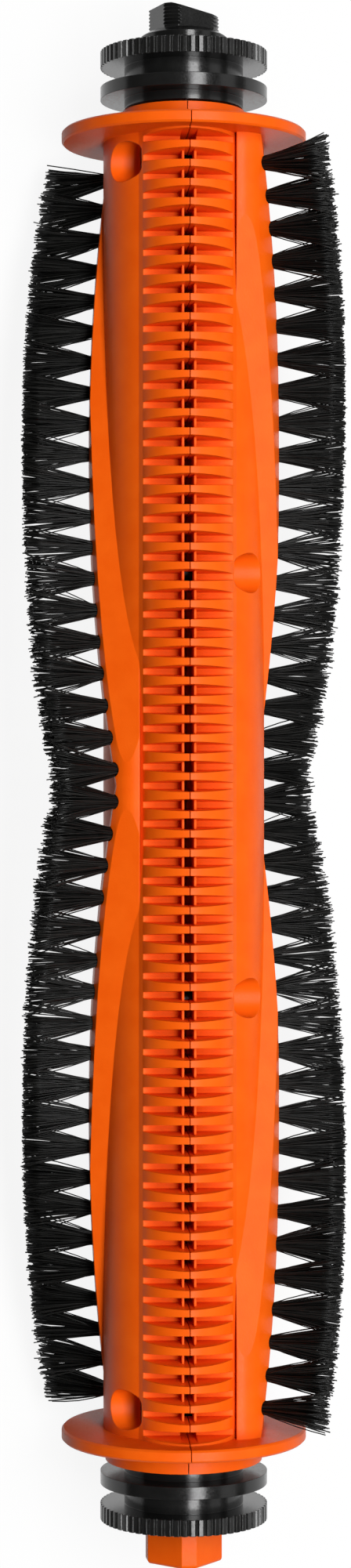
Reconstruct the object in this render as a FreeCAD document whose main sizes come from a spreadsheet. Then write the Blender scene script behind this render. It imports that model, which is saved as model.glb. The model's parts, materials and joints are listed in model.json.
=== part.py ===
"""Robot vacuum roller brush: two moulded half bodies with V rows of bristles, and two running end caps.

Millimetres. The roller's axis lies along Y, with the drive end at -Y and the idle end at +Y. The origin is on
the axis at mid length. The parting plane of the two half bodies is X = 0, so a seam faces straight up.
Angles round the axis are counted from +X towards +Z.
"""
import FreeCAD, Part
import math
import os
import Sketcher

Vector = FreeCAD.Vector
Rotation = FreeCAD.Rotation
Placement = FreeCAD.Placement

AXIS_Y = Vector(0, 1, 0)
AXIS_X = Vector(1, 0, 0)
NO_MOVE = Vector(0, 0, 0)

doc = FreeCAD.newDocument("roller_brush")

# Driving dimensions: alias, value and what it is.
DIMENSIONS = [
    ("half_length", 94.0, "axis middle to either end of the brush"),
    ("flange_radius", 14.8, "large end flanges of the roller"),
    ("flange_inner", 77.6, "middle to the flange's inner face"),
    ("flange_outer", 79.1, "middle to the flange's outer face"),
    ("rim_chamfer", 0.25, "broken edge of the flange rims"),
    ("drive_collar", 9.5, "radius of the collar outside the drive end's flange"),
    ("idle_collar", 7.4, "radius of the collar outside the idle end's flange"),
    ("collar_end", 81.5, "middle to the collar's end face"),
    ("core_radius", 9.74, "round core between the flanges"),
    ("fin_radius", 6.873, "curve of the fin tops"),
    ("fin_centre", 5.424, "axis to the level of that curve's centre"),
    ("fin_offset", 0.8, "that centre past the seam, which leaves a faint crest on the fins"),
    ("fin_edge_angle", 25.75, "where the fin's curve ends at the strip's side"),
    ("fin_root", 6.0, "depth of the fin strip inside the core"),
    ("skirt_reach", 6.0, "seam to the foot of the strip's sloped side"),
    ("skirt_foot", 7.55, "axis to that foot"),
    ("groove_count", 69, "grooves between the fins"),
    ("groove_pitch", 2.255, "spacing of the grooves"),
    ("groove_top", 1.43, "groove width at the fin tops"),
    ("groove_foot", 0.75, "groove width at the groove's foot"),
    ("groove_floor", 8.5, "axis to the foot of a groove, under the core"),
    ("groove_reach", 5.6, "seam to where a groove has run out of the strip"),
    ("seam_gap", 0.05, "how far the outer part of a half stands back from the seam"),
    ("seam_boss", 4.0, "radius round the shaft where the halves touch"),
    ("window_half_width", 0.58, "half width of the window at the seam"),
    ("window_length", 1.33, "length of that window along the axis"),
    ("window_floor", 4.2, "axis to the floor of that window"),
    ("rim_reach", 0.86, "seam to the outside of a window's rim"),
    ("rim_top", 10.5, "axis to the top of that rim"),
    ("end_window", 0.95, "half width of the first and last windows, which have no rim"),
    ("ridge_land", 11.54, "axis to the crest that holds the tufts"),
    ("flank_low", 9.62, "how far the foot of the ridge's lower flank lies under the axis at mid length"),
    ("flank_high", 0.94, "how far the foot of its upper flank lies over the axis there"),
    ("draft_low", 0.42, "slope of the lower flank, out from the seam"),
    ("draft_high", 0.26, "slope of the upper flank, out from the seam"),
    ("flank_rise", 0.12, "rise of both flanks for each millimetre from mid length"),
    ("ridge_dip", 7.76, "how far the crest lies under the axis at mid length"),
    ("ridge_rise", 0.195, "rise of the crest for each millimetre from mid length"),
    ("ridge_foot", 5.75, "seam to the ridge's side next to the fins"),
    ("ridge_flat", 8.9, "axis to the flats on the ridge next to the fins"),
    ("ridge_soft", 3.5, "rounding between those flats and the round land"),
    ("ridge_front", 11.49, "seam to the crest where it stands out furthest"),
    ("ridge_bow", 265.5, "long curve of the crest, seen square to the seam"),
    ("ridge_overrun", 0.7, "length of the ridge inside the flange"),
    ("tuft_count", 40, "tufts in a row"),
    ("tuft_reach", 74.3, "middle to the last tuft"),
    ("hole_radius", 0.9, "drilled tuft hole"),
    ("hole_floor", 5.9, "axis to the bottom of a tuft hole"),
    ("anchor_height", 1.5, "flat anchor at the bottom of a tuft hole"),
    ("anchor_width", 1.7, "anchor across the hole"),
    ("anchor_thick", 0.3, "anchor wire's thickness"),
    ("tuft_radius", 0.88, "tuft inside its hole"),
    ("tuft_tip", 19.7, "axis to the bristle tips"),
    ("tip_half_width", 1.86, "half width of a fanned tuft at the tips"),
    ("screw_height", 6.1, "axis to a screw's axis"),
    ("screw_far", 74.4, "middle to the outer screws"),
    ("screw_near", 25.4, "middle to the inner screws"),
    ("counterbore_radius", 2.4, "screw head's pocket"),
    ("counterbore_floor", 5.5, "seam to the floor of that pocket"),
    ("counterbore_mouth", 12.5, "seam to where that pocket is clear of the body"),
    ("seat_radius", 2.0, "seat of the screw's head in the pocket's floor"),
    ("head_seat", 4.05, "seam to the bottom of that seat"),
    ("screw_clearance", 1.15, "radius of the screw's hole under its head"),
    ("screw_pilot", 1.02, "radius of the hole that the screw bites in"),
    ("screw_radius", 1.0, "screw's shank"),
    ("screw_bite", 4.5, "length of shank past the seam"),
    ("pilot_spare", 0.3, "pilot hole past the screw's end"),
    ("head_radius", 1.9, "screw's head"),
    ("head_height", 1.4, "screw head's thickness"),
    ("head_round", 0.4, "rounding of the screw's head"),
    ("recess_width", 0.5, "screw's cross recess"),
    ("recess_length", 2.2, "arm to arm of that recess"),
    ("recess_depth", 0.7, "depth of that recess"),
    ("shaft_radius", 2.5, "steel shaft through the roller"),
    ("shaft_fit", 0.02, "gap between the shaft and what grips it"),
    ("end_gap", 0.05, "gap past the end of a pin or of the shaft"),
    ("clear_cut", 1.0, "how far a cut runs past the surface that it opens in"),
    ("shaft_drive_end", 92.0, "middle to the shaft's end in the drive stub"),
    ("shaft_idle_end", 86.8, "middle to the shaft's end in the idle cap"),
    ("pin_radius", 1.0, "dowel pins that key the shaft"),
    ("pin_half_length", 3.9, "half of a dowel's length"),
    ("pin_place", 50.0, "middle to a dowel"),
    ("stub_flats", 7.7, "square drive across its flats"),
    ("stub_corner", 1.83, "width of the stub's flattened corners"),
    ("stub_start", 88.95, "middle to the stub's inner face"),
    ("stub_round", 0.5, "rounding of the stub's end"),
    ("stub_turn", 5.0, "stub's corner turned from the seam"),
    ("cap_start", 81.8, "middle to an end cap's inner face"),
    ("neck_radius", 7.2, "necks of an end cap"),
    ("disc_radius", 10.1, "both discs of an end cap"),
    ("plain_start", 82.9, "middle to the plain disc"),
    ("plain_end", 84.4, "middle to the plain disc's outer face"),
    ("knurl_start", 86.8, "middle to the knurled disc"),
    ("knurl_end", 88.75, "middle to the knurled disc's outer face"),
    ("knurl_teeth", 64, "teeth round a knurled disc"),
    ("knurl_depth", 0.32, "depth of the notches between those teeth"),
    ("knurl_share", 0.48, "share of the rim that those notches take"),
    ("bore_radius", 5.5, "bearing's seat in an end cap"),
    ("seat_end", 87.0, "middle to the shoulder of that seat"),
    ("relief_radius", 4.4, "recess that keeps the cap off the bearing's inner ring"),
    ("relief_end", 87.4, "middle to the floor of that recess"),
    ("shaft_window", 2.9, "hole in the drive cap for the shaft"),
    ("key_base_radius", 5.2, "foot of the idle cap's key"),
    ("key_base_shoulder", 90.5, "middle to the shoulder of that foot"),
    ("key_base_end", 91.1, "middle to the top of that foot"),
    ("key_radius", 4.28, "ribbed corners of the key"),
    ("key_flats", 7.2, "key across its flats"),
    ("key_ribs", 6, "ribs up each corner of the key"),
    ("key_rib_pitch", 0.43, "spacing of those ribs"),
    ("key_rib_depth", 0.2, "depth between those ribs"),
    ("key_slope", 14.7, "slope of the key's cut end"),
    ("key_turn", 24.1, "angle of the key corner that the end slopes down to"),
    ("spacer_radius", 3.4, "spacer ring between roller and bearing"),
    ("bearing_start", 83.0, "middle to the bearing's inner face"),
    ("bearing_width", 4.0, "bearing's width"),
    ("ring_inner_top", 3.45, "shoulder of the bearing's inner ring"),
    ("ring_outer_low", 4.55, "shoulder of the bearing's outer ring"),
    ("ball_circle", 4.0, "axis to the balls' centres"),
    ("ball_radius", 0.8, "bearing ball"),
    ("ball_groove", 0.86, "groove radius in both rings"),
    ("ball_count", 7, "balls in a bearing"),
    ("cage_inner", 3.75, "inside of the ball cage"),
    ("cage_outer", 4.25, "outside of the ball cage"),
    ("cage_width", 2.4, "cage's width"),
    ("cage_pocket", 0.86, "pocket for a ball"),
    ("felt_start", 81.95, "middle to the felt washer"),
    ("felt_thick", 0.95, "felt washer's thickness"),
    ("felt_hole", 3.6, "inside of the felt washer"),
]

sheet = doc.addObject("Spreadsheet::Sheet", "dims")
for row, (alias, value, meaning) in enumerate(DIMENSIONS, start=1):
    sheet.set("A%d" % row, meaning)
    sheet.set("B%d" % row, str(value))
    sheet.setAlias("B%d" % row, alias)
doc.recompute()


def size(alias):
    """Value of one driving dimension."""
    return float(sheet.get(alias))


def bind(obj, **cells):
    """Bind an object's properties to expressions over the sheet."""
    for prop, expression in cells.items():
        obj.setExpression(prop, expression)


def cell(expression):
    """Prefix the sheet's name to every alias in an expression."""
    words = []
    for word in expression.split():
        is_alias = word.isidentifier() and word not in ("deg", "pi")
        words.append("dims." + word if is_alias else word)
    return " ".join(words)


def plane_of(body, role):
    """One of a body's own origin planes or axes."""
    for feature in body.Origin.OriginFeatures:
        if feature.Role == role:
            return feature
    raise ValueError(role)


def outline(owner, name, plane, points):
    """Closed sketch of straight edges, whose corners are given as pairs of expressions."""
    sketch = owner.newObject("Sketcher::SketchObject", name)
    sketch.AttachmentSupport = (plane_of(owner, plane), "")
    sketch.MapMode = "FlatFace"
    drawn = [Vector(evaluate(x), evaluate(y), 0) for x, y in points]
    for i, start in enumerate(drawn):
        sketch.addGeometry(Part.LineSegment(start, drawn[(i + 1) % len(drawn)]))
    for i in range(len(drawn)):
        sketch.addConstraint(Sketcher.Constraint("Coincident", i, 2, (i + 1) % len(drawn), 1))
    for i, (x, y) in enumerate(points):
        for kind, expression, value in (("DistanceX", x, drawn[i].x), ("DistanceY", y, drawn[i].y)):
            index = sketch.addConstraint(Sketcher.Constraint(kind, -1, 1, i, 1, value))
            sketch.setExpression("Constraints[%d]" % index, cell(expression))
    return sketch


def evaluate(expression):
    """Number that an expression over the sheet gives now."""
    return float(sheet.evalExpression(cell(expression)))


def revolve(body, name, sketch, angle=360.0, cut=False):
    """Turn a sketch round the body's Y axis, evenly to both sides of its plane."""
    kind = "PartDesign::Groove" if cut else "PartDesign::Revolution"
    feature = body.newObject(kind, name)
    feature.Profile = sketch
    feature.ReferenceAxis = (sketch, ["V_Axis"])
    feature.Midplane = True
    feature.Angle = angle
    body.Tip = feature
    return feature


def pattern(body, name, feature, kind, axis, **settings):
    """Repeat a feature along or round one of the body's axes."""
    repeat = body.newObject("PartDesign::" + kind, name)
    repeat.Originals = [feature]
    if kind == "LinearPattern":
        repeat.Direction = (plane_of(body, axis), [""])
    else:
        repeat.Axis = (plane_of(body, axis), [""])
    for prop, expression in settings.items():
        repeat.setExpression(prop, cell(expression))
    body.Tip = repeat
    return repeat


def radial(angle):
    """Unit vector across the axis at an angle in degrees."""
    return Vector(math.cos(math.radians(angle)), 0, math.sin(math.radians(angle)))


def turn(angle):
    """Rotation about the axis that carries +X to that angle."""
    return Rotation(AXIS_Y, -angle)


def shape_feature(name, shapes):
    """Feature that holds several separate solids."""
    feature = doc.addObject("Part::Feature", name)
    feature.Shape = Part.makeCompound(shapes)
    return feature


sub_parts = []


def finish(obj, node):
    """Label an object as one of the brush's pieces."""
    obj.Label = node
    sub_parts.append(obj)
    return obj


# Roller half: round core, flanges and collars, turned through a half circle on the +X side.
core = doc.addObject("PartDesign::Body", "core_half")
core_side = [
    ("flange_radius - rim_chamfer", "flange_outer"),
    ("flange_radius", "flange_outer - rim_chamfer"),
    ("flange_radius", "flange_inner + rim_chamfer"),
    ("flange_radius - rim_chamfer", "flange_inner"),
    ("core_radius", "flange_inner"),
]
core_points = [
    ("shaft_radius + shaft_fit", "collar_end"),
    ("idle_collar", "collar_end"),
    ("idle_collar", "flange_outer"),
]
core_points += core_side
core_points += [(x, "-1 * ( " + y + " )") for x, y in reversed(core_side)]
core_points += [
    ("drive_collar", "-1 * flange_outer"),
    ("drive_collar", "-1 * collar_end"),
    ("shaft_radius + shaft_fit", "-1 * collar_end"),
]
revolve(core, "core_turn", outline(core, "core_section", "XY_Plane", core_points), angle=180.0)

# Fins: a long strip with a round top and sloped sides, front and back. The grooves are cut later.
strip = doc.addObject("PartDesign::Body", "fin_strip")
fin_section = strip.newObject("Sketcher::SketchObject", "fin_section")
fin_section.AttachmentSupport = (plane_of(strip, "XZ_Plane"), "")
fin_section.MapMode = "FlatFace"
fin_start = math.radians(size("fin_edge_angle"))
fin_x = size("fin_radius") * math.cos(fin_start) - size("fin_offset")
fin_z = size("fin_centre") + size("fin_radius") * math.sin(fin_start)
fin_crest = math.acos(size("fin_offset") / size("fin_radius"))
fin_top = size("fin_centre") + size("fin_radius") * math.sin(fin_crest)
fin_hub = Part.Circle(Vector(-size("fin_offset"), size("fin_centre"), 0), Vector(0, 0, 1), size("fin_radius"))
fin_section.addGeometry(Part.ArcOfCircle(fin_hub, fin_start, fin_crest))
fin_corners = [
    Vector(0, fin_top, 0),
    Vector(0, size("fin_root"), 0),
    Vector(size("skirt_reach"), size("fin_root"), 0),
    Vector(size("skirt_reach"), size("skirt_foot"), 0),
    Vector(fin_x, fin_z, 0),
]
for start, end in zip(fin_corners, fin_corners[1:]):
    fin_section.addGeometry(Part.LineSegment(start, end))
for i in range(5):
    fin_section.addConstraint(Sketcher.Constraint("Coincident", i, 2, (i + 1) % 5, 1))
fin_section.addConstraint(Sketcher.Constraint("Horizontal", 2))
fin_section.addConstraint(Sketcher.Constraint("Vertical", 3))
fin_section.addConstraint(Sketcher.Constraint("PointOnObject", 0, 2, -2))
fin_section.addConstraint(Sketcher.Constraint("PointOnObject", 1, 2, -2))
fin_dims = [
    (Sketcher.Constraint("Radius", 0, size("fin_radius")), "fin_radius"),
    (Sketcher.Constraint("DistanceY", -1, 1, 0, 3, size("fin_centre")), "fin_centre"),
    (Sketcher.Constraint("DistanceY", -1, 1, 1, 2, size("fin_root")), "fin_root"),
    (Sketcher.Constraint("DistanceX", -1, 1, 3, 1, size("skirt_reach")), "skirt_reach"),
    (Sketcher.Constraint("DistanceY", -1, 1, 3, 2, size("skirt_foot")), "skirt_foot"),
    (Sketcher.Constraint("DistanceX", 0, 3, -1, 1, size("fin_offset")), "fin_offset"),
    (Sketcher.Constraint("DistanceX", -1, 1, 0, 1, fin_x),
     "fin_radius * cos( fin_edge_angle * 1 deg ) - fin_offset"),
]
for constraint, expression in fin_dims:
    index = fin_section.addConstraint(constraint)
    fin_section.setExpression("Constraints[%d]" % index, cell(expression))
fin_pad = strip.newObject("PartDesign::Pad", "fin_pad")
fin_pad.Profile = fin_section
fin_pad.Midplane = True
bind(fin_pad, Length=cell("2 * flange_inner"))
strip.Tip = fin_pad
doc.recompute()
strip_back = doc.addObject("Part::Mirroring", "fin_strip_back")
strip_back.Source = strip
strip_back.Normal = Vector(0, 0, 1)


def common(name, base, tool):
    """What two objects share."""
    result = doc.addObject("Part::Common", name)
    result.Base = base
    result.Tool = tool
    return result


# Ridge: one arm of a V, a band with drafted flanks that climbs towards the flange. It is cut to a round
# land with softened flats next to the fins, and to a long bow at the crest. The other arm mirrors it.
band_depth = "( flange_radius - ridge_foot )"
band_points = [
    ("ridge_foot", "-1 * flank_low"),
    ("flange_radius", "draft_low * %s - flank_low" % band_depth),
    ("flange_radius", "flank_high - draft_high * %s" % band_depth),
    ("ridge_foot", "flank_high"),
]
band = doc.addObject("PartDesign::Body", "ridge_band")
band_sketch = outline(band, "band_section", "XZ_Plane", band_points)
band_pad = band.newObject("PartDesign::Pad", "band_pad")
band_pad.Profile = band_sketch
band_pad.UseCustomVector = True
band_pad.Direction = Vector(0, 1, size("flank_rise"))
band_pad.AlongSketchNormal = True
bind(band_pad, Length=cell("flange_inner + ridge_overrun"))
band.Tip = band_pad
land_round = doc.addObject("Part::Cylinder", "land_round")
land_round.Placement = Placement(NO_MOVE, Rotation(AXIS_X, -90))
bind(land_round, Radius=cell("ridge_land"), Height=cell("half_length"))
land_round.setExpression("Placement.Base.y", cell("-1 * clear_cut"))
crest_bow = doc.addObject("Part::Cylinder", "crest_bow")
bind(crest_bow, Radius=cell("ridge_bow"), Height=cell("4 * flange_radius"))
crest_bow.setExpression("Placement.Base.x", cell("ridge_front - ridge_bow"))
crest_bow.setExpression("Placement.Base.y", cell("ridge_dip / ridge_rise"))
crest_bow.setExpression("Placement.Base.z", cell("-2 * flange_radius"))
flat_slab = doc.addObject("Part::Box", "flat_slab")
bind(flat_slab,
     Length=cell("2 * flange_radius"),
     Width=cell("half_length + clear_cut"),
     Height=cell("2 * ridge_flat"))
flat_slab.setExpression("Placement.Base.y", cell("-1 * clear_cut"))
flat_slab.setExpression("Placement.Base.z", cell("-1 * ridge_flat"))
land_flats = common("land_flats", land_round, flat_slab)
doc.recompute()
land_soft = doc.addObject("Part::Fillet", "land_soft")
land_soft.Base = land_flats
soft_edges = []
for number, edge in enumerate(land_flats.Shape.Edges, start=1):
    runs_along = edge.BoundBox.YLength > size("flange_inner")
    at_flat = abs(abs(edge.CenterOfMass.z) - size("ridge_flat")) < 0.01
    if runs_along and at_flat:
        soft_edges.append((number, size("ridge_soft"), size("ridge_soft")))
land_soft.Edges = soft_edges
ridge = common("ridge_rounded", band, land_soft)
ridge = common("ridge_arm", ridge, crest_bow)
ridge_mirror = doc.addObject("Part::Mirroring", "ridge_arm_mirror")
ridge_mirror.Source = ridge
ridge_mirror.Normal = AXIS_Y
doc.recompute()

raw_half = doc.addObject("Part::MultiFuse", "raw_half")
raw_half.Shapes = [core, strip, strip_back, ridge, ridge_mirror]
doc.recompute()


def groove_shape(window, rim):
    """Groove between two fins, with a half window at the seam; window and rim are their reach from the seam."""
    clear = size("clear_cut")
    foot = 0.5 * size("groove_foot")
    top = 0.5 * size("groove_top")
    right_side = [
        (foot, size("groove_floor")),
        (top, fin_top),
        (top, fin_top + clear),
    ]
    corners = right_side + [(-y, z) for y, z in reversed(right_side)]
    wire = Part.makePolygon([Vector(-clear, y, z) for y, z in corners + corners[:1]])
    space = Part.Face(wire).extrude(AXIS_X * (clear + size("groove_reach")))
    if rim > window:
        rim_height = size("rim_top") - size("groove_floor")
        rim_corner = Vector(window, -2 * top, size("groove_floor"))
        space = space.cut(Part.makeBox(rim - window, 4 * top, rim_height, rim_corner))
    length = size("window_length")
    window_corner = Vector(-clear, -0.5 * length, size("window_floor"))
    shaft = Part.makeBox(clear + window, length, fin_top + clear - size("window_floor"), window_corner)
    return space.fuse(shaft).removeSplitter()


def grooves():
    """Every groove, front and back."""
    count = int(size("groove_count"))
    inner = groove_shape(size("window_half_width"), size("rim_reach"))
    outer = groove_shape(size("end_window"), size("end_window"))
    for i in range(count):
        tool = outer.copy() if i in (0, count - 1) else inner.copy()
        tool.translate(Vector(0, (i - 0.5 * (count - 1)) * size("groove_pitch"), 0))
        yield tool
        yield tool.mirror(NO_MOVE, Vector(0, 0, 1))


# The halves touch round the shaft, and stand a hair apart outside that.
gap_reach = size("flange_radius") + size("clear_cut")
gap_corner = Vector(-size("clear_cut"), -size("half_length"), -gap_reach)
gap_length = 2 * size("half_length")
gap_slab = Part.makeBox(size("clear_cut") + size("seam_gap"), gap_length, 2 * gap_reach, gap_corner)
boss = Part.makeCylinder(size("seam_boss"), gap_length, Vector(0, -0.5 * gap_length, 0), AXIS_Y)
parted_half = doc.addObject("Part::Cut", "parted_half")
parted_half.Base = raw_half
parted_half.Tool = shape_feature("seam_relief", [gap_slab.cut(boss)])
doc.recompute()
grooved_half = doc.addObject("Part::Cut", "grooved_half")
grooved_half.Base = parted_half
grooved_half.Tool = shape_feature("groove_cuts", list(grooves()))
doc.recompute()


def row_places():
    """Place along the axis and angle of every tuft in the right row."""
    count = int(size("tuft_count"))
    step = 2 * size("tuft_reach") / (count - 1)
    for i in range(count):
        place = i * step - size("tuft_reach")
        crest = size("ridge_rise") * abs(place) - size("ridge_dip")
        yield place, math.degrees(math.asin(crest / size("ridge_land")))


def across_seam(radius, start, end, place, height):
    """Round bar across the parting plane, at a place along the axis and a height above it."""
    return Part.makeCylinder(radius, end - start, Vector(start, place, height), AXIS_X)


def drilled_holes():
    """Blind holes for the tufts, square to the axis."""
    depth = size("ridge_land") + size("clear_cut") - size("hole_floor")
    for place, angle in row_places():
        foot = radial(angle) * size("hole_floor") + Vector(0, place, 0)
        yield Part.makeCylinder(size("hole_radius"), depth, foot, radial(angle))


def screw_holes():
    """Counterbored holes for screws from this side, and pilot holes for those from the other half."""
    height = size("screw_height")
    clear = size("clear_cut")
    pilot_end = size("screw_bite") + size("pilot_spare")
    for sign in (-1, 1):
        for place, level in ((size("screw_near"), height), (size("screw_far"), -height)):
            head = across_seam(size("counterbore_radius"), size("counterbore_floor"),
                               size("counterbore_mouth"), sign * place, level)
            seat_end = size("counterbore_floor") + clear
            seat = across_seam(size("seat_radius"), size("head_seat"), seat_end, sign * place, level)
            neck_end = size("head_seat") + clear
            neck = across_seam(size("screw_clearance"), -clear, neck_end, sign * place, level)
            yield head.fuse(seat).fuse(neck)
        for place, level in ((size("screw_far"), height), (size("screw_near"), -height)):
            yield across_seam(size("screw_pilot"), -clear, pilot_end, sign * place, level)


def dowel(radius, half_length, place):
    """Pin across the shaft, lying in the parting plane."""
    return Part.makeCylinder(radius, 2 * half_length, Vector(0, place, -half_length))


dowel_fit = size("pin_radius") + size("shaft_fit")
dowel_room = size("pin_half_length") + size("end_gap")
dowel_seats = [dowel(dowel_fit, dowel_room, sign * size("pin_place")) for sign in (-1, 1)]
half_cuts = shape_feature("half_cuts", list(drilled_holes()) + list(screw_holes()) + dowel_seats)
body_right = doc.addObject("Part::Cut", "body_half_right")
body_right.Base = grooved_half
body_right.Tool = half_cuts
finish(body_right, "body_half_right")
doc.recompute()

# The left half is the same moulding, turned half a turn about the axis.
HALF_TURN = Placement(NO_MOVE, turn(180))
body_left = doc.addObject("Part::Feature", "body_half_left")
body_left.Shape = body_right.Shape.copy()
body_left.Placement = HALF_TURN
finish(body_left, "body_half_left")

# Bristles: each tuft stands in its hole on an anchor and fans out towards the tips.
TUFT_SIDES = 8


def ring_of_points(radius, height):
    """Closed polygon round the tuft's own axis, which is +X."""
    wire = []
    for i in range(TUFT_SIDES + 1):
        around = 2 * math.pi * (i + 0.5) / TUFT_SIDES
        wire.append(Vector(height, radius * math.cos(around), radius * math.sin(around)))
    return Part.makePolygon(wire)


def tuft_shape():
    """One tuft along +X: a straight shank in the hole, then an even fan."""
    tip_radius = size("tip_half_width") / math.cos(math.pi / TUFT_SIDES)
    foot = size("hole_floor") + size("anchor_height")
    sections = [
        ring_of_points(size("tuft_radius"), foot),
        ring_of_points(size("tuft_radius"), size("ridge_land")),
        ring_of_points(tip_radius, size("tuft_tip")),
    ]
    return Part.makeLoft(sections, True, True)


def anchor_shape():
    """Flat wire anchor standing on the floor of a tuft hole, along +X."""
    gap = size("shaft_fit")
    corner = Vector(size("hole_floor") + gap, -0.5 * size("anchor_width"), -0.5 * size("anchor_thick"))
    return Part.makeBox(size("anchor_height") - 2 * gap, size("anchor_width"), size("anchor_thick"), corner)


def along_row(shape, node):
    """Copies of a shape at every tuft of the right row, and the left row as its half turn."""
    copies = []
    for place, angle in row_places():
        copy = shape.copy()
        copy.Placement = Placement(Vector(0, place, 0), turn(angle))
        copies.append(copy)
    for side, rest in (("right", Placement()), ("left", HALF_TURN)):
        row_feature = shape_feature(node + "_" + side, copies)
        row_feature.Placement = rest
        finish(row_feature, node + "_" + side)


along_row(tuft_shape(), "bristle_row")
along_row(anchor_shape(), "tuft_anchors")


def screw_shape():
    """Screw along -X with its head's underside in its seat: head, shank and cross recess."""
    floor = size("head_seat")
    top = floor + size("head_height")
    head = across_seam(size("head_radius"), floor, top, 0, 0)
    top_edges = [edge for edge in head.Edges if abs(edge.BoundBox.XMin - top) < 0.01]
    head = head.makeFillet(size("head_round"), top_edges)
    shank = across_seam(size("screw_radius"), -size("screw_bite"), floor + size("end_gap"), 0, 0)
    long_arm = size("recess_length")
    short_arm = size("recess_width")
    sunk = top - size("recess_depth")
    arm_y = Part.makeBox(2, long_arm, short_arm, Vector(sunk, -0.5 * long_arm, -0.5 * short_arm))
    arm_z = Part.makeBox(2, short_arm, long_arm, Vector(sunk, -0.5 * short_arm, -0.5 * long_arm))
    return head.fuse(shank).cut(arm_y.fuse(arm_z)).removeSplitter()


screw = screw_shape()
screws = []
screw_level = size("screw_height")
for sign in (-1, 1):
    for place, level in ((size("screw_near"), screw_level), (size("screw_far"), -screw_level)):
        right = screw.copy()
        right.Placement = Placement(Vector(0, sign * place, level), Rotation())
        left = right.copy()
        left.Placement = HALF_TURN.multiply(right.Placement)
        screws += [right, left]
finish(shape_feature("body_screws", screws), "body_screws")


def reach(side, near, far):
    """Expression for the lower Y end of a piece that spans near to far from the middle, on one side."""
    return near if side > 0 else "-1 * ( " + far + " )"


def rod(name, radius, start, length):
    """Round bar along the axis."""
    bar = doc.addObject("Part::Cylinder", name)
    bar.Placement = Placement(NO_MOVE, Rotation(AXIS_X, -90))
    bind(bar, Radius=cell(radius), Height=cell(length))
    bar.setExpression("Placement.Base.y", cell(start))
    return bar


def cut(name, base, tool):
    """Base without tool."""
    result = doc.addObject("Part::Cut", name)
    result.Base = base
    result.Tool = tool
    return result


def ring(name, outer, inner, start, length):
    """Plain ring round the axis."""
    hole = rod(name + "_hole", inner, start + " - clear_cut", length + " + 2 * clear_cut")
    return cut(name, rod(name + "_blank", outer, start, length), hole)


# Steel shaft with two dowels, which are clamped between the halves and turn the shaft with them.
pins = []
for sign in (-1, 1):
    pin = doc.addObject("Part::Cylinder", "dowel_pin")
    bind(pin, Radius=cell("pin_radius"), Height=cell("2 * pin_half_length"))
    pin.setExpression("Placement.Base.y", cell("%d * pin_place" % sign))
    pin.setExpression("Placement.Base.z", cell("-1 * pin_half_length"))
    pins.append(pin)
shaft_pins = doc.addObject("Part::Compound", "shaft_pins")
shaft_pins.Links = pins
finish(shaft_pins, "shaft_pins")
shaft_bar = rod("shaft_bar", "shaft_radius", "-1 * shaft_drive_end", "shaft_drive_end + shaft_idle_end")
cross_holes = shape_feature("cross_holes", dowel_seats)
finish(cut("core_shaft", shaft_bar, cross_holes), "core_shaft")

# Drive stub: square with flattened corners and a rounded end, pressed on the shaft.
stub = doc.addObject("PartDesign::Body", "drive_stub")
flat = "0.5 * stub_flats"
corner = "0.5 * stub_flats - stub_corner * cos( 45 deg )"
stub_points = []
for signs in ((1, 1), (-1, 1), (-1, -1), (1, -1)):
    wide = ("%d * ( %s )" % (signs[0], flat), "%d * ( %s )" % (signs[1], corner))
    tall = ("%d * ( %s )" % (signs[0], corner), "%d * ( %s )" % (signs[1], flat))
    stub_points += [wide, tall] if signs[0] * signs[1] > 0 else [tall, wide]
stub_pad = stub.newObject("PartDesign::Pad", "stub_pad")
stub_pad.Profile = outline(stub, "stub_section", "XY_Plane", stub_points)
bind(stub_pad, Length=cell("half_length - stub_start"))
stub.Tip = stub_pad
doc.recompute()
stub_end = evaluate("half_length - stub_start")
rim = ["Edge%d" % (i + 1) for i, edge in enumerate(stub_pad.Shape.Edges)
       if edge.BoundBox.ZMin > stub_end - 0.01]
stub_rounding = stub.newObject("PartDesign::Fillet", "stub_rounding")
stub_rounding.Base = (stub_pad, rim)
bind(stub_rounding, Radius=cell("stub_round"))
stub.Tip = stub_rounding
doc.recompute()
socket_sketch = stub.newObject("Sketcher::SketchObject", "socket_section")
socket_sketch.AttachmentSupport = (plane_of(stub, "XY_Plane"), "")
socket_sketch.MapMode = "FlatFace"
socket_sketch.addGeometry(Part.Circle(NO_MOVE, Vector(0, 0, 1), evaluate("shaft_radius + shaft_fit")))
socket_sketch.addConstraint(Sketcher.Constraint("Coincident", 0, 3, -1, 1))
socket_sketch.addConstraint(Sketcher.Constraint("Radius", 0, evaluate("shaft_radius + shaft_fit")))
socket_sketch.setExpression("Constraints[1]", cell("shaft_radius + shaft_fit"))
socket = stub.newObject("PartDesign::Pocket", "socket")
socket.Profile = socket_sketch
socket.Reversed = True
bind(socket, Length=cell("shaft_drive_end + end_gap - stub_start"))
stub.Tip = socket
# The stub is drawn up from its inner face. It is stood along -Y, with a corner near the seam.
stub_lie = turn(45 - size("stub_turn")) * Rotation(AXIS_X, 90)
stub.Placement = Placement(Vector(0, -size("stub_start"), 0), stub_lie)
finish(stub, "drive_stub")
doc.recompute()


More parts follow.
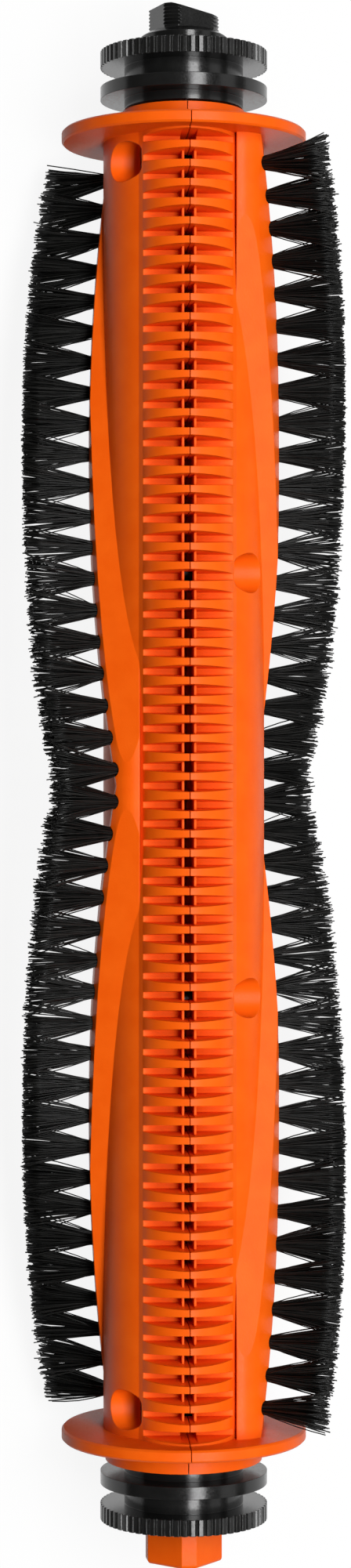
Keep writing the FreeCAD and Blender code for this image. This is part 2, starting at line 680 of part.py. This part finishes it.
def end_cap(name, window):
    """Spool-shaped cap at +Y: two discs on a neck, the outer one knurled, with a bearing seat inside."""
    cap = doc.addObject("PartDesign::Body", name)
    section = [
        ("bore_radius", "cap_start"),
        ("neck_radius", "cap_start"),
        ("neck_radius", "plain_start"),
        ("disc_radius", "plain_start"),
        ("disc_radius", "plain_end"),
        ("neck_radius", "plain_end"),
        ("neck_radius", "knurl_start"),
        ("disc_radius", "knurl_start"),
        ("disc_radius", "knurl_end"),
        (window, "knurl_end"),
        (window, "relief_end"),
        ("relief_radius", "relief_end"),
        ("relief_radius", "seat_end"),
        ("bore_radius", "seat_end"),
    ]
    revolve(cap, name + "_spool", outline(cap, name + "_section", "XY_Plane", section))
    doc.recompute()
    notch_half = "knurl_share * pi * disc_radius / knurl_teeth * ( knurl_depth + end_gap ) / knurl_depth"
    notch_points = [
        ("disc_radius - knurl_depth", "0"),
        ("disc_radius + end_gap", "-1 * " + notch_half),
        ("disc_radius + end_gap", notch_half),
    ]
    notch_sketch = outline(cap, name + "_notch_section", "XZ_Plane", notch_points)
    notch_sketch.setExpression("AttachmentOffset.Base.z", cell("-0.5 * ( knurl_start + knurl_end )"))
    notch = cap.newObject("PartDesign::Pocket", name + "_notch")
    notch.Profile = notch_sketch
    notch.Midplane = True
    bind(notch, Length=cell("knurl_end - knurl_start + clear_cut"))
    cap.Tip = notch
    pattern(cap, name + "_knurl", notch, "PolarPattern", "Y_Axis", Occurrences="knurl_teeth")
    doc.recompute()
    return cap


drive_cap = end_cap("drive_end_cap", "shaft_window")
drive_cap.Placement = Placement(NO_MOVE, Rotation(Vector(0, 0, 1), 180))
finish(drive_cap, "drive_end_cap")
doc.recompute()

# Idle cap: the same spool, closed, with a key that sits in the housing. Ribbed corners, four flats, sloped end.
idle_cap = end_cap("idle_end_cap", "0")
key_points = [
    ("0", "knurl_end"),
    ("key_base_radius", "knurl_end"),
    ("key_base_radius", "key_base_shoulder"),
    ("key_radius", "key_base_end"),
    ("key_radius", "half_length"),
    ("0", "half_length"),
]
revolve(idle_cap, "key_post", outline(idle_cap, "key_section", "XY_Plane", key_points))
doc.recompute()
first_rib = "key_base_end + key_rib_pitch"
rib_points = [
    ("key_radius - key_rib_depth", first_rib),
    ("key_radius + shaft_fit", first_rib + " - 0.45 * key_rib_pitch"),
    ("key_radius + shaft_fit", first_rib + " + 0.45 * key_rib_pitch"),
]
rib_gap = revolve(idle_cap, "rib_gap", outline(idle_cap, "rib_section", "XY_Plane", rib_points), cut=True)
pattern(idle_cap, "rib_gaps", rib_gap, "LinearPattern", "Y_Axis",
        Length="( key_ribs - 1 ) * key_rib_pitch", Occurrences="key_ribs")
doc.recompute()
before_flats = idle_cap.Shape.Volume
flats_points = [
    ("0.5 * key_flats", "-2 * key_radius"),
    ("2 * key_radius", "-2 * key_radius"),
    ("2 * key_radius", "2 * key_radius"),
    ("0.5 * key_flats", "2 * key_radius"),
]
flats_sketch = outline(idle_cap, "flats_section", "XZ_Plane", flats_points)
flats_sketch.AttachmentOffset = Placement(NO_MOVE, Rotation(Vector(0, 0, 1), size("key_turn") + 45))
flats_sketch.setExpression("AttachmentOffset.Base.z", cell("-1 * half_length"))
key_flat = idle_cap.newObject("PartDesign::Pocket", "key_flat")
key_flat.Profile = flats_sketch
key_flat.Reversed = True
bind(key_flat, Length=cell("half_length - key_base_end"))
idle_cap.Tip = key_flat
key_flats = pattern(idle_cap, "key_flats", key_flat, "PolarPattern", "Y_Axis")
key_flats.Occurrences = 4
doc.recompute()
before_slope = idle_cap.Shape.Volume
slope_points = [
    ("0", "half_length"),
    ("2 * key_radius", "half_length - 2 * key_radius * tan( key_slope * 1 deg )"),
    ("2 * key_radius", "half_length + clear_cut"),
    ("0", "half_length + clear_cut"),
]
slope_sketch = outline(idle_cap, "slope_section", "XY_Plane", slope_points)
slope_sketch.AttachmentOffset = Placement(NO_MOVE, turn(size("key_turn")))
key_end = idle_cap.newObject("PartDesign::Pocket", "key_end")
key_end.Profile = slope_sketch
key_end.Midplane = True
bind(key_end, Length=cell("4 * key_radius"))
idle_cap.Tip = key_end
finish(idle_cap, "idle_end_cap")
doc.recompute()
if not before_flats > before_slope > idle_cap.Shape.Volume:
    raise RuntimeError("the idle cap's key was not cut")


def ball_places(side):
    """Centre and direction of each bearing ball at one end."""
    count = int(size("ball_count"))
    place = side * (size("bearing_start") + 0.5 * size("bearing_width"))
    for i in range(count):
        outward = radial(360.0 * i / count)
        yield outward * size("ball_circle") + Vector(0, place, 0), outward


def ball_track(name, middle):
    """Round track that the balls run in."""
    track = doc.addObject("Part::Torus", name)
    track.Placement = Placement(NO_MOVE, Rotation(AXIS_X, -90))
    bind(track, Radius1=cell("ball_circle"), Radius2=cell("ball_groove"))
    track.setExpression("Placement.Base.y", cell(middle))
    return track


# Each end has a spacer, a ball bearing and a felt washer between the roller and its cap.
for end, side in (("drive", -1), ("idle", 1)):
    spacer_start = reach(side, "collar_end + shaft_fit", "bearing_start - shaft_fit")
    spacer = ring(end + "_spacer", "spacer_radius", "shaft_radius + shaft_fit", spacer_start,
                  "bearing_start - collar_end - 2 * shaft_fit")
    finish(spacer, end + "_spacer_ring")

    race_start = reach(side, "bearing_start", "bearing_start + bearing_width")
    race_middle = "%d * ( bearing_start + 0.5 * bearing_width )" % side
    inner_blank = ring(end + "_inner_blank", "ring_inner_top", "shaft_radius + shaft_fit", race_start,
                       "bearing_width")
    inner_ring = cut(end + "_inner_ring", inner_blank, ball_track(end + "_inner_track", race_middle))
    finish(inner_ring, end + "_bearing_inner_ring")
    seated_start = reach(side, "bearing_start", "bearing_start + bearing_width - shaft_fit")
    outer_blank = ring(end + "_outer_blank", "bore_radius - shaft_fit", "ring_outer_low", seated_start,
                       "bearing_width - shaft_fit")
    outer_ring = cut(end + "_outer_ring", outer_blank, ball_track(end + "_outer_track", race_middle))
    finish(outer_ring, end + "_bearing_outer_ring")

    balls = []
    pockets = []
    for centre, outward in ball_places(side):
        ball = doc.addObject("Part::Sphere", end + "_ball")
        ball.Placement.Base = centre
        bind(ball, Radius=cell("ball_radius"))
        balls.append(ball)
        pocket = doc.addObject("Part::Cylinder", end + "_ball_pocket")
        pocket.Placement = Placement(centre - outward * 2, Rotation(Vector(0, 0, 1), outward))
        bind(pocket, Radius=cell("cage_pocket"))
        pocket.Height = 4
        pockets.append(pocket)
    ball_set = doc.addObject("Part::Compound", end + "_balls")
    ball_set.Links = balls
    finish(ball_set, end + "_bearing_balls")
    cage_start = race_middle + " - 0.5 * cage_width"
    cage_blank = ring(end + "_cage_blank", "cage_outer", "cage_inner", cage_start, "cage_width")
    pocket_set = doc.addObject("Part::Compound", end + "_pockets")
    pocket_set.Links = pockets
    finish(cut(end + "_cage", cage_blank, pocket_set), end + "_bearing_cage")

    felt_start = reach(side, "felt_start", "felt_start + felt_thick")
    felt = ring(end + "_felt", "bore_radius - shaft_fit", "felt_hole", felt_start, "felt_thick")
    finish(felt, end + "_felt_washer")

doc.recompute()

for obj in doc.Objects:
    if "Invalid" in obj.State or "Error" in obj.State:
        raise RuntimeError("%s failed: %s" % (obj.Name, obj.State))
for obj in sub_parts:
    if obj.Shape.isNull() or not obj.Shape.isValid():
        raise RuntimeError("%s has no valid shape" % obj.Label)

os.makedirs("parts", exist_ok=True)
for obj in sub_parts:
    obj.Shape.exportStep("parts/%s.step" % obj.Label)
    box = obj.Shape.BoundBox
    print("%-26s solids %3d  faces %4d  volume %9.1f  y %7.2f to %7.2f" % (
        obj.Label, len(obj.Shape.Solids), len(obj.Shape.Faces), obj.Shape.Volume, box.YMin, box.YMax))
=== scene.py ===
"""Looks of the robot vacuum roller brush: bristle filaments, moulded plastics, studio light and camera.

Metres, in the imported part's frame: the roller's axis lies along Y, X is across it and Z is up.
"""

import json
import math

import bpy
import numpy as np
from mathutils import Matrix, Vector


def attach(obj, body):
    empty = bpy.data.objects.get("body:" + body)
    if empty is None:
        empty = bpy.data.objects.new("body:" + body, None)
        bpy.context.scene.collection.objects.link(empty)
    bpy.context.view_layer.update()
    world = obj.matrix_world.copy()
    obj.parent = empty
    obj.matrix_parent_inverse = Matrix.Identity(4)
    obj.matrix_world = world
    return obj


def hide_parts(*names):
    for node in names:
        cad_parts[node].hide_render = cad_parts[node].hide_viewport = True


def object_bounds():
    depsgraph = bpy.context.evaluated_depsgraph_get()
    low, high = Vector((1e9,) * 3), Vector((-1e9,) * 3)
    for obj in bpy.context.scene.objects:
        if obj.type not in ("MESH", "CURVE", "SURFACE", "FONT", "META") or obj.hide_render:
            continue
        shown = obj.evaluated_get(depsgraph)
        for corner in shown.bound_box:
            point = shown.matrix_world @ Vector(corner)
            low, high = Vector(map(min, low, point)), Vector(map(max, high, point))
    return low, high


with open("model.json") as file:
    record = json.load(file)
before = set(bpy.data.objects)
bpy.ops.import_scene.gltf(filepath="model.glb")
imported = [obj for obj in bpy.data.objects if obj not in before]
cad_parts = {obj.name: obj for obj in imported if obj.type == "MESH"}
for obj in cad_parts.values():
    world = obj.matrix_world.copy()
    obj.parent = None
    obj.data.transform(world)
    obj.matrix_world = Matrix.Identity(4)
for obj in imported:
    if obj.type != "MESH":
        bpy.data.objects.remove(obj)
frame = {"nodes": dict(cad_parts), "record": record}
cad_low, cad_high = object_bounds()
nodes = frame["nodes"]
record = frame["record"]
scene = bpy.context.scene
scene.view_settings.view_transform = "Standard"

MM = 0.001
FLOOR_HEIGHT = cad_low.z

# Materials: noise lies mostly between these two levels, over which colour and gloss are spread.
NOISE_LEVELS = (0.3, 0.7)
PATCH_DETAIL = 3.0
GRAIN_DETAIL = 2.0
EVEN = (1.0, 1.0, 1.0)
EDGE_SAMPLES = 6

# Narrow grooves and pockets of the orange mouldings: painted shade that darkens and reddens their colour, and
# extra roughness, by how open the surface is.
GROOVE_REACH = 1.6 * MM
GROOVE_SAMPLES = 8
GROOVE_PAINTED_SHADE = ((0.05, (0.3, 0.2, 0.2)), (0.14, (0.93, 0.8, 0.8)), (0.5, (1.0, 1.0, 1.0)))
GROOVE_OPENNESS = (0.25, 0.75)
GROOVE_ROUGHNESS = (0.4, 0.0)


def new_material(name):
    """New node material, its tree and the Principled shader on its output."""
    material = bpy.data.materials.new(name)
    material.use_nodes = True
    tree = material.node_tree
    tree.nodes.clear()
    output = tree.nodes.new("ShaderNodeOutputMaterial")
    shader = tree.nodes.new("ShaderNodeBsdfPrincipled")
    tree.links.new(shader.outputs["BSDF"], output.inputs["Surface"])
    return material, tree, shader


def noise(tree, size, detail, stretch):
    """Noise in the piece's own coordinates, with grains of about that size."""
    place = tree.nodes.new("ShaderNodeTexCoord")
    mapping = tree.nodes.new("ShaderNodeMapping")
    mapping.inputs["Scale"].default_value = stretch
    texture = tree.nodes.new("ShaderNodeTexNoise")
    texture.inputs["Scale"].default_value = 1.0 / size
    texture.inputs["Detail"].default_value = detail
    tree.links.new(place.outputs["Object"], mapping.inputs["Vector"])
    tree.links.new(mapping.outputs["Vector"], texture.inputs["Vector"])
    return texture.outputs["Fac"]


def colour_ramp(tree, factor, stops):
    """Colour that runs with a factor through the stops, each a level and a colour."""
    ramp = tree.nodes.new("ShaderNodeValToRGB")
    elements = ramp.color_ramp.elements
    while len(elements) < len(stops):
        elements.new(0.5)
    for element, (level, colour) in zip(elements, stops):
        element.position = level
        element.color = (*colour, 1.0)
    tree.links.new(factor, ramp.inputs["Fac"])
    return ramp.outputs["Color"]


def tint(tree, factor, dark, light):
    """Colour that runs from dark to light with a noise."""
    low, high = NOISE_LEVELS
    return colour_ramp(tree, factor, ((low, dark), (high, light)))


def spread(tree, factor, source, target):
    """Number that runs over the target range while a factor runs over the source range."""
    span = tree.nodes.new("ShaderNodeMapRange")
    for end, value in zip(("From Min", "From Max", "To Min", "To Max"), (*source, *target)):
        span.inputs[end].default_value = value
    tree.links.new(factor, span.inputs["Value"])
    return span.outputs["Result"]


def added(tree, first, second, clamp=False):
    """Sum of two numbers, held between 0 and 1 if clamped."""
    total = tree.nodes.new("ShaderNodeMath")
    total.operation = "ADD"
    total.use_clamp = clamp
    tree.links.new(first, total.inputs[0])
    tree.links.new(second, total.inputs[1])
    return total.outputs["Value"]


def multiplied(tree, first, second):
    """Product of two colours."""
    mix = tree.nodes.new("ShaderNodeMix")
    mix.data_type = "RGBA"
    mix.blend_type = "MULTIPLY"
    mix.inputs["Factor"].default_value = 1.0
    sockets = [socket for socket in mix.inputs if socket.type == "RGBA"]
    tree.links.new(first, sockets[0])
    tree.links.new(second, sockets[1])
    return next(socket for socket in mix.outputs if socket.type == "RGBA")


def relief(tree, shader, factor, height, soften):
    """Fine grain on the surface, over edges that are softened by that radius."""
    bump = tree.nodes.new("ShaderNodeBump")
    bump.inputs["Strength"].default_value = 1.0
    bump.inputs["Distance"].default_value = height
    tree.links.new(factor, bump.inputs["Height"])
    if soften:
        bevel = tree.nodes.new("ShaderNodeBevel")
        bevel.samples = EDGE_SAMPLES
        bevel.inputs["Radius"].default_value = soften
        tree.links.new(bevel.outputs["Normal"], bump.inputs["Normal"])
    tree.links.new(bump.outputs["Normal"], shader.inputs["Normal"])


def groove_painted_shade_and_roughness(tree, colour, rough):
    """Colour darkened with painted shade, and roughness raised, in narrow grooves and pockets."""
    shelter = tree.nodes.new("ShaderNodeAmbientOcclusion")
    shelter.samples = GROOVE_SAMPLES
    shelter.only_local = True
    shelter.inputs["Distance"].default_value = GROOVE_REACH
    openness = shelter.outputs["AO"]
    # Painted shade: the colour is multiplied darker and redder where the surface is closed in.
    painted_shade = colour_ramp(tree, openness, GROOVE_PAINTED_SHADE)
    extra = spread(tree, openness, GROOVE_OPENNESS, GROOVE_ROUGHNESS)
    return multiplied(tree, colour, painted_shade), added(tree, rough, extra)


def grained(name, dark, light, patch, rough, grain, height,
            soften=0.0, specular=0.5, metallic=0.0, stretch=EVEN, groove_shade_and_roughness=False):
    """Material with colour in patches, uneven gloss and a fine surface grain of that size and height."""
    material, tree, shader = new_material(name)
    patches = noise(tree, patch, PATCH_DETAIL, stretch)
    grains = noise(tree, grain, GRAIN_DETAIL, stretch)
    colour = tint(tree, patches, dark, light)
    gloss = spread(tree, grains, NOISE_LEVELS, rough)
    # Painted shade in narrow grooves and pockets, with extra roughness there.
    if groove_shade_and_roughness:
        colour, gloss = groove_painted_shade_and_roughness(tree, colour, gloss)
    tree.links.new(colour, shader.inputs["Base Color"])
    tree.links.new(gloss, shader.inputs["Roughness"])
    shader.inputs["Specular IOR Level"].default_value = specular
    shader.inputs["Metallic"].default_value = metallic
    relief(tree, shader, grains, height, soften)
    return material


def orange_plastic():
    """Satin orange moulding, with painted shade darkening its grooves and pockets, and rougher there."""
    return grained(
        "orange_plastic",
        dark=(0.93, 0.11, 0.002), light=(0.98, 0.13, 0.004), patch=3.0 * MM,
        rough=(0.34, 0.46), grain=0.22 * MM, height=0.012 * MM,
        soften=0.14 * MM, specular=0.14, groove_shade_and_roughness=True)


def black_plastic():
    """Satin black moulding."""
    return grained(
        "black_plastic",
        dark=(0.007, 0.007, 0.0068), light=(0.012, 0.012, 0.0117), patch=2.0 * MM,
        rough=(0.14, 0.26), grain=0.2 * MM, height=0.004 * MM,
        soften=0.12 * MM, specular=0.42)


def steel():
    """Ground steel with fine lines round the axis."""
    return grained(
        "steel",
        dark=(0.5, 0.5, 0.51), light=(0.66, 0.66, 0.66), patch=1.5 * MM,
        rough=(0.22, 0.36), grain=0.25 * MM, height=0.004 * MM,
        metallic=1.0, stretch=(1.0, 6.0, 1.0))


def black_steel():
    """Blackened steel of the screws, worn paler in places."""
    return grained(
        "black_steel",
        dark=(0.022, 0.022, 0.024), light=(0.05, 0.05, 0.052), patch=0.5 * MM,
        rough=(0.3, 0.5), grain=0.15 * MM, height=0.004 * MM,
        metallic=1.0)


def anchor_wire():
    """Drawn brass wire."""
    return grained(
        "anchor_wire",
        dark=(0.62, 0.44, 0.18), light=(0.76, 0.58, 0.3), patch=0.8 * MM,
        rough=(0.25, 0.4), grain=0.2 * MM, height=0.004 * MM,
        metallic=1.0)


def cage_plastic():
    """Natural nylon of the bearing cages."""
    return grained(
        "cage_plastic",
        dark=(0.68, 0.64, 0.55), light=(0.8, 0.77, 0.7), patch=1.0 * MM,
        rough=(0.4, 0.55), grain=0.2 * MM, height=0.006 * MM)


def felt():
    """Pressed grey felt with a fibrous surface."""
    return grained(
        "felt",
        dark=(0.16, 0.16, 0.155), light=(0.34, 0.34, 0.33), patch=0.25 * MM,
        rough=(0.85, 0.98), grain=0.12 * MM, height=0.06 * MM)


# Shade of each filament, a number that its mesh carries and its material reads.
SHADE = "filament_shade"
SHADE_RANGE = (0.2, 0.8)
BRISTLE_DARK = (0.004, 0.004, 0.0037)
BRISTLE_LIGHT = (0.014, 0.014, 0.013)
BRISTLE_ROUGHNESS = (0.34, 0.5)
BRISTLE_SPECULAR = 0.25


def bristle():
    """Black nylon, a little different from filament to filament."""
    material, tree, shader = new_material("bristle")
    attribute = tree.nodes.new("ShaderNodeAttribute")
    attribute.attribute_name = SHADE
    shade = attribute.outputs["Fac"]
    tree.links.new(tint(tree, shade, BRISTLE_DARK, BRISTLE_LIGHT), shader.inputs["Base Color"])
    tree.links.new(spread(tree, shade, NOISE_LEVELS, BRISTLE_ROUGHNESS), shader.inputs["Roughness"])
    shader.inputs["Specular IOR Level"].default_value = BRISTLE_SPECULAR
    return material


MATERIALS = {
    "orange_plastic": orange_plastic(),
    "black_plastic": black_plastic(),
    "bristle": bristle(),
    "anchor_wire": anchor_wire(),
    "steel": steel(),
    "black_steel": black_steel(),
    "cage_plastic": cage_plastic(),
    "felt": felt(),
}


def dress(piece, slot):
    """Give a piece its only material."""
    piece.data.materials.clear()
    piece.data.materials.append(MATERIALS[slot])


for part in record["subparts"]:
    dress(nodes[part["node"]], part["material_slot"])

# Rows of tufts, as the part has them: the crest of the ridge is a straight V seen from the side.
TUFTS = 40
TUFT_REACH = 74.3 * MM
CREST_RADIUS = 11.54 * MM
CREST_DIP = 7.76 * MM
CREST_RISE = 0.195
ANCHOR_TOP = 7.4 * MM
ROW_SEEDS = {"right": 11, "left": 12}
HALF_TURN = np.array([-1.0, 1.0, -1.0])

# Filaments of one tuft: thin tubes that leave the hole as a round bundle and spread to a fan.
FILAMENTS = 136
FILAMENT_RADIUS = 0.086 * MM
TUBE_SIDES = 3
BUNDLE_RADIUS = 0.79 * MM
BUNDLE_SCATTER = 0.05
FAN_ALONG = 2.6 * MM
FAN_ACROSS = 1.15 * MM
FAN_VARIATION = 0.07
FAN_JITTER = 0.2 * MM
FAN_STATIONS = (0.0, 0.22, 0.5, 0.76, 1.0)
BOW = 0.12 * MM

# A power below 1 fills the two sides of the fan, so that its outline is full and its edge even.
FAN_FILL = 0.6

# Tips: distance from the roller's axis, and how far they keep off the floor.
TIP_RADIUS = 19.42 * MM
TIP_SPREAD = 0.13 * MM
TIP_LOWEST = 18.6 * MM
TIP_HIGHEST = 19.85 * MM
FLOOR_CLEAR = 0.12 * MM

# Tufts lean towards level, more at mid length, where they point down, than at the ends.
MID_LEAN = 2.3 * MM
END_LEAN = 0.8 * MM
STRAY_LEAN_ALONG = 0.12 * MM
STRAY_LEAN_ACROSS = 0.1 * MM

# Stray filaments, and wear on both sides of the middle: fewer filaments there, and more ruffled.
STRAY_SHARE = 0.04
STRAY_JITTER = 0.75 * MM
WORN_PLACE = 25.0 * MM
WORN_REACH = 13.0 * MM
WORN_LOSS = 0.45
WORN_JITTER = 1.2


def row_places():
    """Place along the axis and angle of every tuft in the right row."""
    for i in range(TUFTS):
        place = TUFT_REACH * (2.0 * i / (TUFTS - 1) - 1.0)
        crest = CREST_RISE * abs(place) - CREST_DIP
        yield place, math.asin(crest / CREST_RADIUS)


def tuft_axes(angle):
    """Directions of a tuft at that angle: outwards, along the roller and across the row."""
    outward = np.array([math.cos(angle), 0.0, math.sin(angle)])
    along = np.array([0.0, 1.0, 0.0])
    across = np.array([-math.sin(angle), 0.0, math.cos(angle)])
    return outward, along, across


def disc_points(rng, count):
    """Evenly scattered points in a disc of radius 1."""
    golden_angle = math.pi * (3.0 - math.sqrt(5.0))
    index = np.arange(count)
    radius = np.sqrt((index + 0.5) / count)
    angle = index * golden_angle + rng.uniform(0, math.tau)
    points = np.stack([radius * np.cos(angle), radius * np.sin(angle)], axis=1)
    return points + rng.normal(0, BUNDLE_SCATTER, points.shape)


def tuft_ends(rng, place, angle):
    """Feet and tips of one tuft's filaments, along and across the row, and the heights of the tips."""
    wear = math.exp(-((abs(place) - WORN_PLACE) / WORN_REACH) ** 2)
    count = round(FILAMENTS * (1.0 - WORN_LOSS * wear))
    spots = disc_points(rng, count)
    foot = spots * BUNDLE_RADIUS
    fan = np.array([FAN_ALONG * rng.normal(1.0, FAN_VARIATION), FAN_ACROSS * rng.normal(1.0, FAN_VARIATION)])
    lean = np.array([rng.normal(0, STRAY_LEAN_ALONG), rng.normal(0, STRAY_LEAN_ACROSS)])
    lean[1] -= math.sin(angle) * (MID_LEAN if angle < 0 else END_LEAN)
    usual_jitter = FAN_JITTER * (1.0 + WORN_JITTER * wear)
    jitter = np.where(rng.random((count, 1)) < STRAY_SHARE, STRAY_JITTER, usual_jitter)
    spots[:, 1] = np.sign(spots[:, 1]) * np.abs(spots[:, 1]) ** FAN_FILL
    tip = spots * fan + lean + rng.normal(0, 1.0, spots.shape) * jitter
    length = np.clip(rng.normal(TIP_RADIUS, TIP_SPREAD, count), TIP_LOWEST, TIP_HIGHEST)
    height = np.sqrt(length ** 2 - tip[:, 1] ** 2)
    return foot, tip, height


def tuft_paths(rng, place, angle):
    """Centre lines of one tuft's filaments: an array of filament, station and coordinate."""
    outward, along, across = tuft_axes(angle)
    foot, tip, height = tuft_ends(rng, place, angle)
    bow = rng.normal(0, BOW, foot.shape)
    stations = [(foot, np.full(len(foot), ANCHOR_TOP))]
    for share in FAN_STATIONS:
        offset = foot + (tip - foot) * share + bow * math.sin(math.pi * share)
        stations.append((offset, CREST_RADIUS + (height - CREST_RADIUS) * share))
    paths = []
    for offset, level in stations:
        point = level[:, None] * outward + offset[:, :1] * along + offset[:, 1:] * across
        paths.append(point + place * along)
    return np.stack(paths, axis=1)


def tuft_tubes(rng, place, angle):
    """Corners of one tuft's tubes, an array of filament, station, corner and coordinate, and their shades."""
    along, across = tuft_axes(angle)[1:]
    paths = tuft_paths(rng, place, angle)
    start = rng.uniform(0, math.tau, len(paths))
    shades = rng.uniform(*SHADE_RANGE, len(paths))
    corners = []
    for side in range(TUBE_SIDES):
        turn = start + math.tau * side / TUBE_SIDES
        spoke = np.cos(turn)[:, None] * along + np.sin(turn)[:, None] * across
        corners.append(paths + FILAMENT_RADIUS * spoke[:, None, :])
    return np.stack(corners, axis=2), shades


def tube_faces(count, stations):
    """Walls and tips of that many tubes, by the numbers of their corners."""
    base = np.arange(count)[:, None, None] * stations * TUBE_SIDES
    level = np.arange(stations - 1)[None, :, None] * TUBE_SIDES
    side = np.arange(TUBE_SIDES)[None, None, :]
    following = (side + 1) % TUBE_SIDES
    walls = np.stack([
        base + level + side,
        base + level + following,
        base + level + TUBE_SIDES + following,
        base + level + TUBE_SIDES + side,
    ], axis=-1).reshape(-1, 4)
    tips = (base + (stations - 1) * TUBE_SIDES + side).reshape(-1, TUBE_SIDES)
    return walls.tolist() + tips.tolist()


def row_mesh(name, seed, half_turn):
    """Mesh of one row of tufts: a tube for each filament, turned half round the roller for the left row."""
    rng = np.random.default_rng(seed)
    tufts = [tuft_tubes(rng, place, angle) for place, angle in row_places()]
    points = np.concatenate([corners for corners, shades in tufts])
    row_shades = np.concatenate([shades for corners, shades in tufts])
    if half_turn:
        points = points * HALF_TURN
    points[..., 2] = np.maximum(points[..., 2], FLOOR_HEIGHT + FLOOR_CLEAR)
    count, stations = points.shape[:2]
    mesh = bpy.data.meshes.new(name)
    mesh.from_pydata(points.reshape(-1, 3).tolist(), [], tube_faces(count, stations))
    mesh.polygons.foreach_set("use_smooth", [True] * len(mesh.polygons))
    shade = mesh.attributes.new(SHADE, "FLOAT", "POINT")
    shade.data.foreach_set("value", np.repeat(row_shades, stations * TUBE_SIDES))
    mesh.update()
    return mesh


for side, seed in ROW_SEEDS.items():
    row_name = "bristles_" + side
    row = bpy.data.objects.new(row_name, row_mesh(row_name, seed, half_turn=side == "left"))
    scene.collection.objects.link(row)
    dress(row, "bristle")
    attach(row, "roller")
    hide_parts("bristle_row_" + side)

# Floor: nearly white to the camera and in mirror images, with the object's soft shadow left on it.
FLOOR_HALF = 40.0
FLOOR_CORNERS = ((-1, -1), (1, -1), (1, 1), (-1, 1))
FLOOR_WHITE = (1.0, 1.0, 1.0, 1.0)
FLOOR_WHITE_SHARE = 0.9
FLOOR_PALE = (0.9, 0.9, 0.9, 1.0)
FLOOR_BOUNCE = (0.12, 0.12, 0.12, 1.0)
FLOOR_ROUGHNESS = 0.9


def mix_shaders(tree, first, second):
    """Mix of two shaders' outputs."""
    mix = tree.nodes.new("ShaderNodeMixShader")
    tree.links.new(first, mix.inputs[1])
    tree.links.new(second, mix.inputs[2])
    return mix


def floor_material():
    """Floor that is pale to the camera, keeps the object's shadow and throws little light back up."""
    material, tree, bounce = new_material("studio_floor")
    bounce.inputs["Base Color"].default_value = FLOOR_BOUNCE
    bounce.inputs["Roughness"].default_value = FLOOR_ROUGHNESS
    pale = tree.nodes.new("ShaderNodeBsdfDiffuse")
    pale.inputs["Color"].default_value = FLOOR_PALE
    white = tree.nodes.new("ShaderNodeEmission")
    white.inputs["Color"].default_value = FLOOR_WHITE
    lit = mix_shaders(tree, pale.outputs["BSDF"], white.outputs["Emission"])
    lit.inputs["Fac"].default_value = FLOOR_WHITE_SHARE
    path = tree.nodes.new("ShaderNodeLightPath")
    direct = added(tree, path.outputs["Is Camera Ray"], path.outputs["Is Glossy Ray"])
    seen = added(tree, direct, path.outputs["Is Transmission Ray"], clamp=True)
    whole = mix_shaders(tree, bounce.outputs["BSDF"], lit.outputs["Shader"])
    tree.links.new(seen, whole.inputs["Fac"])
    output = next(node for node in tree.nodes if node.type == "OUTPUT_MATERIAL")
    tree.links.new(whole.outputs["Shader"], output.inputs["Surface"])
    return material


floor_mesh = bpy.data.meshes.new("floor")
floor_points = [(x * FLOOR_HALF, y * FLOOR_HALF, FLOOR_HEIGHT) for x, y in FLOOR_CORNERS]
floor_mesh.from_pydata(floor_points, [], [(0, 1, 2, 3)])
floor = bpy.data.objects.new("floor", floor_mesh)
floor_mesh.materials.append(floor_material())
scene.collection.objects.link(floor)

# Studio light: a long box above and to the right of the brush, a weak one further right, and a dim room.
ROOM_COLOUR = (1.0, 0.98, 0.97, 1.0)
ROOM_STRENGTH = 0.06
BOX_LENGTH = 0.7

world = bpy.data.worlds.new("room")
scene.world = world
world.use_nodes = True
room = world.node_tree.nodes["Background"]
room.inputs["Color"].default_value = ROOM_COLOUR
room.inputs["Strength"].default_value = ROOM_STRENGTH


def softbox(name, place, width, watts):
    """Rectangular lamp that faces the middle of the brush, with its long side along the roller."""
    lamp = bpy.data.lights.new(name, "AREA")
    lamp.shape = "RECTANGLE"
    lamp.size = width
    lamp.size_y = BOX_LENGTH
    lamp.energy = watts
    holder = bpy.data.objects.new(name, lamp)
    holder.location = place
    holder.rotation_euler = Vector(place).to_track_quat("Z", "X").to_euler()
    scene.collection.objects.link(holder)


softbox("top_box", place=(0.205, 0.0, 0.72), width=0.24, watts=6.9)
softbox("right_box", place=(0.6, 0.03, 0.35), width=0.3, watts=0.5)

# Camera: square to the axis and 3.5 degrees left of straight above, as far off as the photograph shows.
CAMERA_FAR = 396.5 * MM
CAMERA_ALONG = 3.08 * MM
CAMERA_ANGLE = math.radians(93.5)
CAMERA_LENS = 75.1
CAMERA_NEAREST = 10.0 * MM
SENSOR = 36.0

# Shift of the picture, in pixels of the photograph's height.
IMAGE_HEIGHT = 2001
SHIFT_ACROSS = -10.5
SHIFT_UP = -30.9

camera_data = bpy.data.cameras.new("camera")
camera_data.sensor_fit = "AUTO"
camera_data.sensor_width = SENSOR
camera_data.lens = CAMERA_LENS
camera_data.shift_x = SHIFT_ACROSS / IMAGE_HEIGHT
camera_data.shift_y = SHIFT_UP / IMAGE_HEIGHT
camera_data.clip_start = CAMERA_NEAREST
camera = bpy.data.objects.new("camera", camera_data)
sight = Vector((math.cos(CAMERA_ANGLE), 0.0, math.sin(CAMERA_ANGLE)))
up = Vector((0.0, 1.0, 0.0))
axes = Matrix((up.cross(sight), up, sight)).transposed().to_4x4()
axes.translation = sight * CAMERA_FAR + up * CAMERA_ALONG
camera.matrix_world = axes
scene.collection.objects.link(camera)
scene.camera = camera

bpy.context.view_layer.update()
